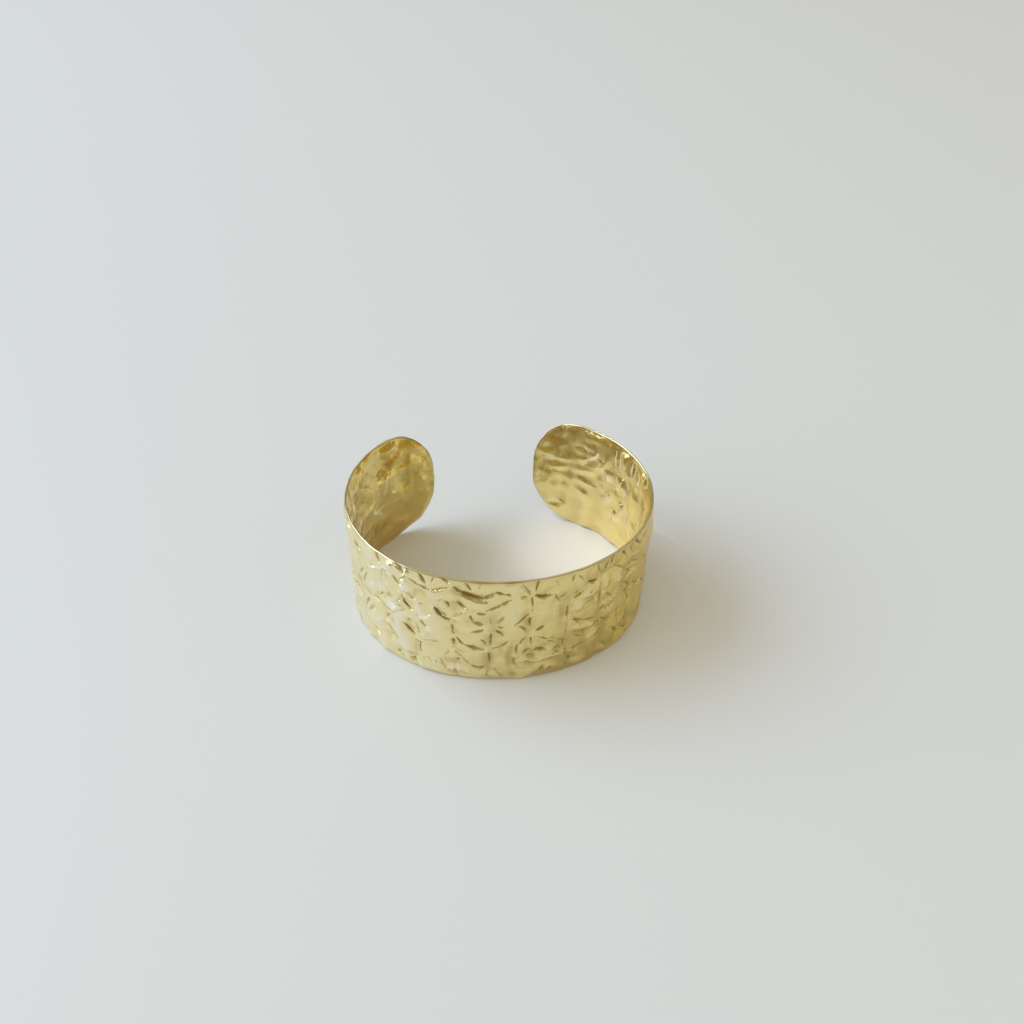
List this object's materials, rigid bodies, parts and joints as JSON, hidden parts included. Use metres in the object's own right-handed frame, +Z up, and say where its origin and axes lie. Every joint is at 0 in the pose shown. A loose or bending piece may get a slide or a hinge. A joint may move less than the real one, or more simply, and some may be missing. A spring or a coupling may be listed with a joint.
{
  "type": "cuff bracelet",
  "caption": "Open cuff bracelet of thin embossed brass sheet with rounded ends, bent to an oval and resting on one long edge.",
  "frame": {"origin": "middle of the oval in plan, on the surface that the cuff's lower edge rests on", "axes": "+Z up along the wrist's axis, +X along the oval's longer width, +Y towards the open gap, -Y towards the front"},
  "size_m": [0.0588, 0.0454, 0.0275],
  "materials": {
    "pale_brass": "satin polish over stamped sheet"
  },
  "bodies": {
    "root": {"cuff_band": "pale_brass"}
  },
  "joints": []
}
